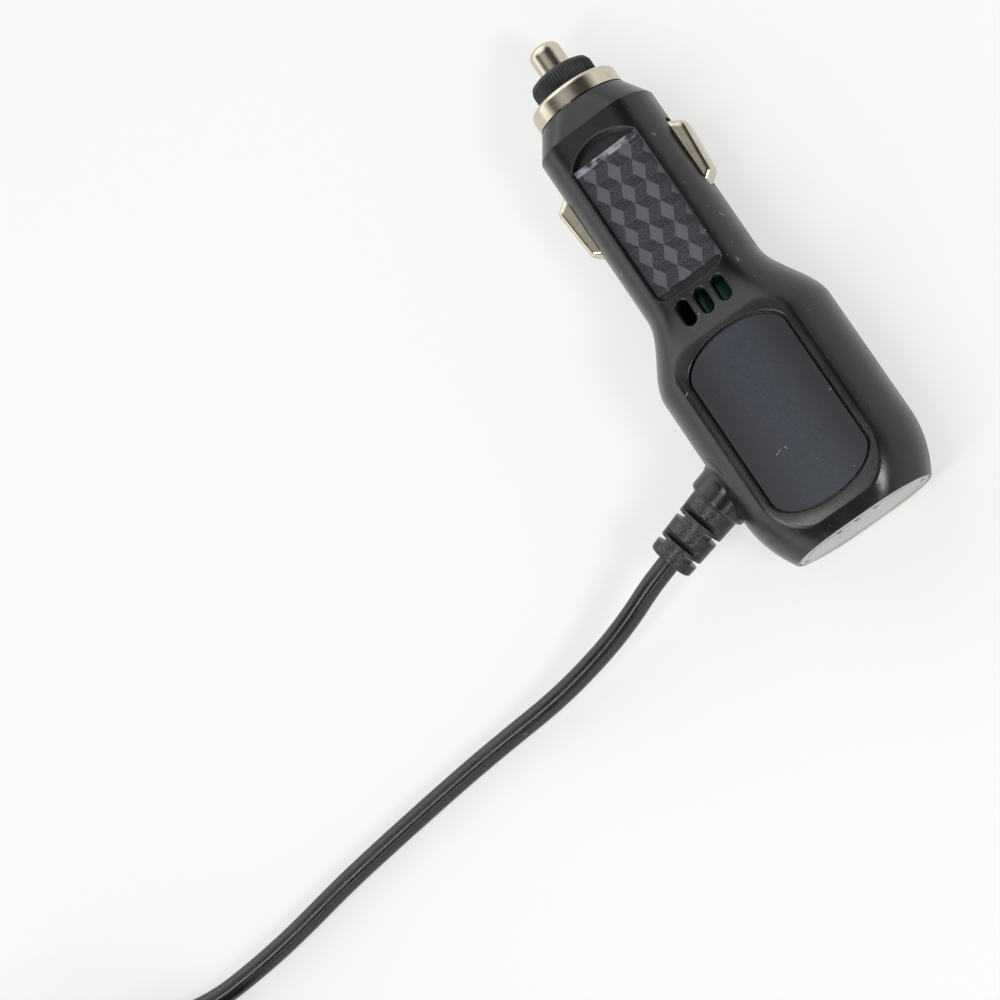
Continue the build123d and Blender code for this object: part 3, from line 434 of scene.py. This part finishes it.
# Lint: short pale textile fibres, straight or curled, each a thin round thread.
# They lie loose on the upper side of the housing and the panel, and go where the housing goes.
LINT_THICKNESS = 0.00004
LINT_STEPS = 8
LINT_GREY = (0.20, 0.20, 0.20, 1)
LINT_PALE = (0.60, 0.60, 0.59, 1)
# Where each fibre's middle lies, which way it runs, how long it is and how far it curls round
LINT_FIBRES = [
    ((-0.00515, 0.00398), -72, 0.0009, 10),
    ((-0.00528, 0.00213), 20, 0.0005, 40),
    ((-0.01577, 0.00684), 60, 0.0008, 30),
    ((0.02951, -0.00619), 100, 0.0011, 150),
    ((0.03051, -0.00930), 30, 0.0007, 60),
    ((0.02291, -0.00745), 10, 0.0009, 200),
    ((0.04651, -0.00779), 40, 0.0008, 220),
    ((0.03253, 0.00828), 160, 0.0008, 90),
    ((0.01040, 0.00980), 130, 0.0007, 120),
]
lint_lines = bpy.data.meshes.new("lint_lines")
lint_points = []
lint_links = []
under_lint = [nodes["housing_upper"], nodes["head_panel"]]
for (middle_x, middle_y), heading, length, curl in LINT_FIBRES:
    step = length / LINT_STEPS
    first = len(lint_points)
    trail = Vector((middle_x, middle_y))
    for k in range(LINT_STEPS + 1):
        hits = [solid.ray_cast((trail.x, trail.y, cad_box[1].z), (0, 0, -1)) for solid in under_lint]
        level = max(place.z for hit, place, *_ in hits if hit)
        lint_points.append((trail.x, trail.y, level + LINT_THICKNESS))
        bearing = radians(heading + curl * (k / LINT_STEPS - 0.5))
        trail = trail + step * Vector((cos(bearing), sin(bearing)))
    lint_links += [(k, k + 1) for k in range(first, first + LINT_STEPS)]
lint_lines.from_pydata(lint_points, lint_links, [])

lint_finish, tree, shader = new_finish("textile_lint", 0.8)
skin = use_group(tree, grain, {"Pits": 3000.0, "Drift": 2400.0})
feed(tree, shader["Base Color"], mix_colours(tree, skin["Gloss"], LINT_GREY, LINT_PALE))

threads = bpy.data.node_groups.new("lint_threads", "GeometryNodeTree")
threads.interface.new_socket("Lines", in_out="INPUT", socket_type="NodeSocketGeometry")
thickness = threads.interface.new_socket("Thickness", in_out="INPUT", socket_type="NodeSocketFloat")
covering = threads.interface.new_socket("Finish", in_out="INPUT", socket_type="NodeSocketMaterial")
threads.interface.new_socket("Threads", in_out="OUTPUT", socket_type="NodeSocketGeometry")
given = threads.nodes.new("NodeGroupInput").outputs
path = threads.nodes.new("GeometryNodeMeshToCurve")
profile = threads.nodes.new("GeometryNodeCurvePrimitiveCircle")
tube = threads.nodes.new("GeometryNodeCurveToMesh")
whole = threads.nodes.new("GeometryNodeRealizeInstances")
painted = threads.nodes.new("GeometryNodeSetMaterial")
result = threads.nodes.new("NodeGroupOutput").inputs
profile.inputs["Resolution"].default_value = 6
tube.inputs["Fill Caps"].default_value = True
threads.links.new(given["Lines"], path.inputs["Mesh"])
threads.links.new(given["Thickness"], profile.inputs["Radius"])
threads.links.new(path.outputs["Curve"], tube.inputs["Curve"])
threads.links.new(profile.outputs["Curve"], tube.inputs["Profile Curve"])
threads.links.new(tube.outputs["Mesh"], whole.inputs["Geometry"])
threads.links.new(whole.outputs["Geometry"], painted.inputs["Geometry"])
threads.links.new(given["Finish"], painted.inputs["Material"])
threads.links.new(painted.outputs["Geometry"], result["Threads"])

lint = bpy.data.objects.new("lint", lint_lines)
bpy.context.collection.objects.link(lint)
spun = lint.modifiers.new("threads", "NODES")
spun.node_group = threads
spun[thickness.identifier] = LINT_THICKNESS
spun[covering.identifier] = lint_finish
lint_mesh = bpy.data.meshes.new_from_object(lint.evaluated_get(bpy.context.evaluated_depsgraph_get()))
lint.modifiers.clear()
lint.data = lint_mesh
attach(lint, "housing")

# Strain relief: soft black plastic, moulded on the lead and held in the boss by its flange.
# Its webs are painted grey on their outer faces that look up: partly scuffs where they bend and rub, partly
# painted highlight.
RELIEF_BLACK = (0.0050, 0.0050, 0.0056, 1)
RELIEF_SCUFF_HIGHLIGHT = (0.085, 0.089, 0.098, 1)
RELIEF_BASE = (-0.0046, 0.0177, 0.0097)
RELIEF_AXIS = (-0.258819, 0.965926, 0)
RELIEF_CORE_RADIUS = 0.0029
RELIEF_WEB_RADIUS = 0.0036
relief_finish, tree, shader = new_finish("relief_rubber", 0.32, Specular_IOR_Level=0.36)
skin = use_group(tree, grain, {"Pits": 4200.0, "Drift": 900.0})
place = add_node(tree, "TexCoord").outputs["Object"]
from_base = calculate_place(tree, "SUBTRACT", place, RELIEF_BASE)
swing = calculate_place(tree, "CROSS_PRODUCT", from_base, RELIEF_AXIS)
off_axis = add_node(tree, "VectorMath", {0: swing}, operation="LENGTH").outputs["Value"]
outside = stretch(tree, off_axis, RELIEF_CORE_RADIUS, RELIEF_WEB_RADIUS)
facing = add_node(tree, "SeparateXYZ", {0: add_node(tree, "NewGeometry").outputs["Normal"]}).outputs["Z"]
# Lighter on the outer webs where they face up: scuffing together with painted highlight.
rubbed = calculate(tree, "MULTIPLY", outside, stretch(tree, facing, 0.5, 0.95))
flakes = stretch(tree, skin["Height"], 0.35, 0.75)
scuffs_and_highlight = calculate(tree, "MULTIPLY", rubbed, flakes)
feed(tree, shader["Base Color"], mix_colours(tree, scuffs_and_highlight, RELIEF_BLACK, RELIEF_SCUFF_HIGHLIGHT))
raise_skin(tree, shader, skin["Height"], 0.35, 0.00005)
dress(relief_finish, "strain_relief")

# Lead: round flexible cable in a black satin jacket. It comes straight out of the strain relief, sinks to
# the surface and runs to the tied coil of its put-away length, which ends in a small plug.
LEAD_DIAMETER = 0.0035
LEAD_ROUTE = [
    (-0.0074988, 0.0285184, 0.0097),
    (-0.0084, 0.0317, 0.0096),
    (-0.0091, 0.0341, 0.0091),
    (-0.0106, 0.0386, 0.0079),
    (-0.0119, 0.0437, 0.0064),
    (-0.0128, 0.0487, 0.0050),
    (-0.0136, 0.0542, 0.0038),
    (-0.0141, 0.0598, 0.0028),
    (-0.0144, 0.0667, 0.0020),
    (-0.0150, 0.0750, 0.00175),
    (-0.0160, 0.0845, 0.00175),
    (-0.0171, 0.0940, 0.00175),
    (-0.0184, 0.1040, 0.00175),
    (-0.0202, 0.1140, 0.00175),
    (-0.0213, 0.1225, 0.00175),
    (-0.0220, 0.1340, 0.00175),
    (-0.0190, 0.1455, 0.00175),
    (-0.0170, 0.1550, 0.00175),
]
COIL_COLUMNS = 5
COIL_LAYERS = 5
COIL_OUTER_TURN = 0.028
COIL_TURN_POINTS = 16
COIL_SHIFT_START = 0.7
TAIL_SWEEP = radians(186)
TAIL_RUNS = 6
PLUG_LEVEL = 0.02105

entry = Vector(LEAD_ROUTE[-1])
heading = (entry - Vector(LEAD_ROUTE[-2])).normalized()
coil_centre = entry + COIL_OUTER_TURN * Vector((-heading.y, heading.x, 0))
entry_spoke = entry - coil_centre


def around_coil(turned, radius, height):
    """Point of the coil, at an angle from where the lead comes in."""
    spoke = entry_spoke.normalized() * radius
    turned_spoke = Vector((
        spoke.x * cos(turned) - spoke.y * sin(turned),
        spoke.x * sin(turned) + spoke.y * cos(turned),
    ))
    return (coil_centre.x + turned_spoke.x, coil_centre.y + turned_spoke.y, height)


coil_turns = []
for layer in range(COIL_LAYERS):
    inwards = range(COIL_COLUMNS)
    for column in (inwards if layer % 2 == 0 else reversed(inwards)):
        coil_turns.append((COIL_OUTER_TURN - column * LEAD_DIAMETER, (layer + 0.5) * LEAD_DIAMETER))

lead_points = LEAD_ROUTE[:-1]
bow = 1 / cos(pi / COIL_TURN_POINTS)
for turn, (radius, height) in enumerate(coil_turns):
    next_radius, next_height = coil_turns[min(turn + 1, len(coil_turns) - 1)]
    for step in range(COIL_TURN_POINTS):
        turned = step / COIL_TURN_POINTS
        shift = max(0, turned - COIL_SHIFT_START) / (1 - COIL_SHIFT_START)
        lead_points.append(around_coil(
            2 * pi * (turn + turned),
            bow * (radius + (next_radius - radius) * shift),
            height + (next_height - height) * shift,
        ))
inner_radius, top_height = coil_turns[-1]
for run in range(TAIL_RUNS + 1):
    climb = min(1, run / (TAIL_RUNS - 1))
    rise = top_height + (PLUG_LEVEL - top_height) * climb
    lead_points.append(around_coil(TAIL_SWEEP * run / TAIL_RUNS, inner_radius, rise))

lead_curve = bpy.data.curves.new("lead_cable", "CURVE")
lead_curve.dimensions = "3D"
lead_line = lead_curve.splines.new("NURBS")
lead_line.points.add(len(lead_points) - 1)
for control, point in zip(lead_line.points, lead_points):
    control.co = (*point, 1)
lead_line.order_u = 3
lead_line.use_endpoint_u = True
lead_line.resolution_u = 6
lead_curve.bevel_depth = LEAD_DIAMETER / 2
lead_curve.bevel_resolution = 10
lead_curve.use_fill_caps = True
lead_cable = bpy.data.objects.new("lead_cable", lead_curve)
bpy.context.collection.objects.link(lead_cable)

JACKET_BLACK = (0.0060, 0.0060, 0.0068, 1)
JACKET_WORN = (0.0105, 0.0105, 0.0115, 1)
jacket_finish, tree, shader = new_finish("lead_jacket", 0.3)
skin = use_group(tree, grain, {"Pits": 2500.0, "Drift": 260.0})
specks = use_group(tree, dust, {"Cells": 380.0, "Amount": 0.15, "Size": 0.06})
plain = mix_colours(tree, skin["Gloss"], JACKET_BLACK, JACKET_WORN)
feed(tree, shader["Base Color"], mix_colours(tree, specks["Mask"], plain, DUST_GREY))
feed(tree, shader["Roughness"], stretch(tree, skin["Gloss"], 0.0, 1.0, 0.24, 0.30))
raise_skin(tree, shader, skin["Height"], 0.2, 0.00004)
lead_curve.materials.append(jacket_finish)

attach(lead_cable, "housing")
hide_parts("lead", "lead_coil", "lead_tail")

# Strap on the coil: woven hook-and-loop tape in black, wrapped once around the turns and pressed on itself.
# It is dull, and its threads cross in a plain weave.
STRAP_BLACK = (0.010, 0.010, 0.010, 1)
STRAP_CROSSING_HIGHLIGHT = (0.035, 0.035, 0.036, 1)
THREAD_PITCH = 650.0
strap_finish, tree, shader = new_finish("woven_strap", 0.8)
place = add_node(tree, "TexCoord").outputs["Object"]
warp = add_node(tree, "TexWave", {"Vector": place, "Scale": THREAD_PITCH}, bands_direction="X").outputs["Fac"]
weft = add_node(tree, "TexWave", {"Vector": place, "Scale": THREAD_PITCH}, bands_direction="Z").outputs["Fac"]
weave = calculate(tree, "MULTIPLY", warp, weft)
# Lighter where the threads cross on top and darker in the dips between them: painted highlight and painted
# shade.
feed(tree, shader["Base Color"], mix_colours(tree, weave, STRAP_BLACK, STRAP_CROSSING_HIGHLIGHT))
raise_skin(tree, shader, weave, 0.8, 0.0001)
dress(strap_finish, "coil_tie")

# Plug on the lead's end: a black plastic body moulded on the cable, with a folded steel shell
# and a black tongue in it. It lies on top of the coil.
plug_finish = grained("plug_black", (0.011, 0.011, 0.0115, 1), (0.016, 0.016, 0.017, 1), 0.42, 4800.0)
dress(plug_finish, "lead_plug_body", "lead_plug_tongue")
folded_marks = {"Along X": 4000.0, "Along Y": 4000.0, "Along Z": 400.0}
shell_finish = plated("tinned_shell", folded_marks, STEEL, STEEL_DULL)
dress(shell_finish, "lead_plug_shell")

# Stage: pale floor that stays white to the camera and keeps a soft shadow, a pale room with a dark ceiling,
# lighter on the lead's side, a wide window on the nose's side, soft boxes overhead and behind the head,
# and the photograph's camera.
FLOOR_WIDTH = 8.0
FLOOR_GREY = (0.352, 0.352, 0.346, 1)
FLOOR_GLOW = (1.0, 1.0, 0.988, 1)
FLOOR_GLOW_LEVEL = 0.56
floor_mesh = bpy.data.meshes.new("floor")
half = FLOOR_WIDTH / 2
floor_corners = [(-half, -half, 0), (half, -half, 0), (half, half, 0), (-half, half, 0)]
floor_mesh.from_pydata(floor_corners, [], [(0, 1, 2, 3)])
floor = bpy.data.objects.new("floor", floor_mesh)
bpy.context.collection.objects.link(floor)
floor_finish, tree, shader = new_finish("pale_floor", 0.9, Base_Color=FLOOR_GREY)
rays = add_node(tree, "LightPath").outputs
seen = calculate(tree, "MAXIMUM", rays["Is Camera Ray"], rays["Is Glossy Ray"])
seen = calculate(tree, "MAXIMUM", seen, rays["Is Transmission Ray"])
shader["Emission Color"].default_value = FLOOR_GLOW
feed(tree, shader["Emission Strength"], calculate(tree, "MULTIPLY", seen, FLOOR_GLOW_LEVEL))
floor_mesh.materials.append(floor_finish)

ROOM_TINT = (0.98, 0.99, 1.0, 1)
WALL_LEVEL = 1.4
CEILING_LEVEL = 0.08
NEAR_SIDE_SHARE = 0.72
LEAD_SIDE_SHARE = 1.22
WINDOW_LEVEL = 1.55
WINDOW_AZIMUTH = radians(10)
WINDOW_ELEVATION = radians(40)
WINDOW_SPREAD = radians(42)
world = bpy.data.worlds.new("pale_room")
bpy.context.scene.world = world
world.use_nodes = True
tree = world.node_tree
looking = add_node(tree, "TexCoord").outputs["Generated"]
facing = add_node(tree, "SeparateXYZ", {0: looking}).outputs
room = stretch(tree, facing["Z"], 0.2, 0.65, WALL_LEVEL, CEILING_LEVEL)
sideways = stretch(tree, facing["Y"], -0.6, 0.6, NEAR_SIDE_SHARE, LEAD_SIDE_SHARE)
room = calculate(tree, "MULTIPLY", room, sideways)
window_side = (
    cos(WINDOW_AZIMUTH) * cos(WINDOW_ELEVATION),
    sin(WINDOW_AZIMUTH) * cos(WINDOW_ELEVATION),
    sin(WINDOW_ELEVATION),
)
towards = add_node(tree, "VectorMath", {0: looking, 1: window_side}, operation="DOT_PRODUCT").outputs["Value"]
window = stretch(tree, towards, cos(WINDOW_SPREAD), 1.0, 0.0, WINDOW_LEVEL)
feed(tree, tree.nodes["Background"].inputs["Strength"], calculate(tree, "ADD", room, window))
tree.nodes["Background"].inputs["Color"].default_value = ROOM_TINT

# Where each soft box stands, how high, its width and depth at one metre, and its energy
SOFT_BOXES = [
    ("overhead_box", 102, 63, (0.20, 0.70), 3.1),
    ("rear_box", 221, 48, (0.24, 0.24), 3.1),
    ("rear_strip", 172, 43, (0.60, 0.10), 1.2),
]
for name, azimuth, elevation, extent, energy in SOFT_BOXES:
    box_light = bpy.data.lights.new(name, "AREA")
    box_light.shape = "RECTANGLE"
    box_light.size, box_light.size_y = extent
    box_light.energy = energy
    box = bpy.data.objects.new(name, box_light)
    out = cos(radians(elevation))
    box.location = (out * cos(radians(azimuth)), out * sin(radians(azimuth)), sin(radians(elevation)))
    box.rotation_euler = box.location.to_track_quat("Z", "Y").to_euler()
    bpy.context.collection.objects.link(box)

# Camera as fitted to the photograph: lens and sensor in millimetres, turn in degrees
CAMERA_LENS = 124.7365
CAMERA_SENSOR = 36.0
CAMERA_PLACE = (-0.086915, -0.074882, 0.528418)
CAMERA_TURN = (1.76638, 16.89763, -124.46857)
camera_data = bpy.data.cameras.new("photo_view")
camera_data.lens = CAMERA_LENS
camera_data.sensor_width = CAMERA_SENSOR
camera = bpy.data.objects.new("photo_view", camera_data)
camera.location = CAMERA_PLACE
camera.rotation_euler = [radians(angle) for angle in CAMERA_TURN]
bpy.context.collection.objects.link(camera)
bpy.context.scene.camera = camera
bpy.context.scene.view_settings.view_transform = "Standard"
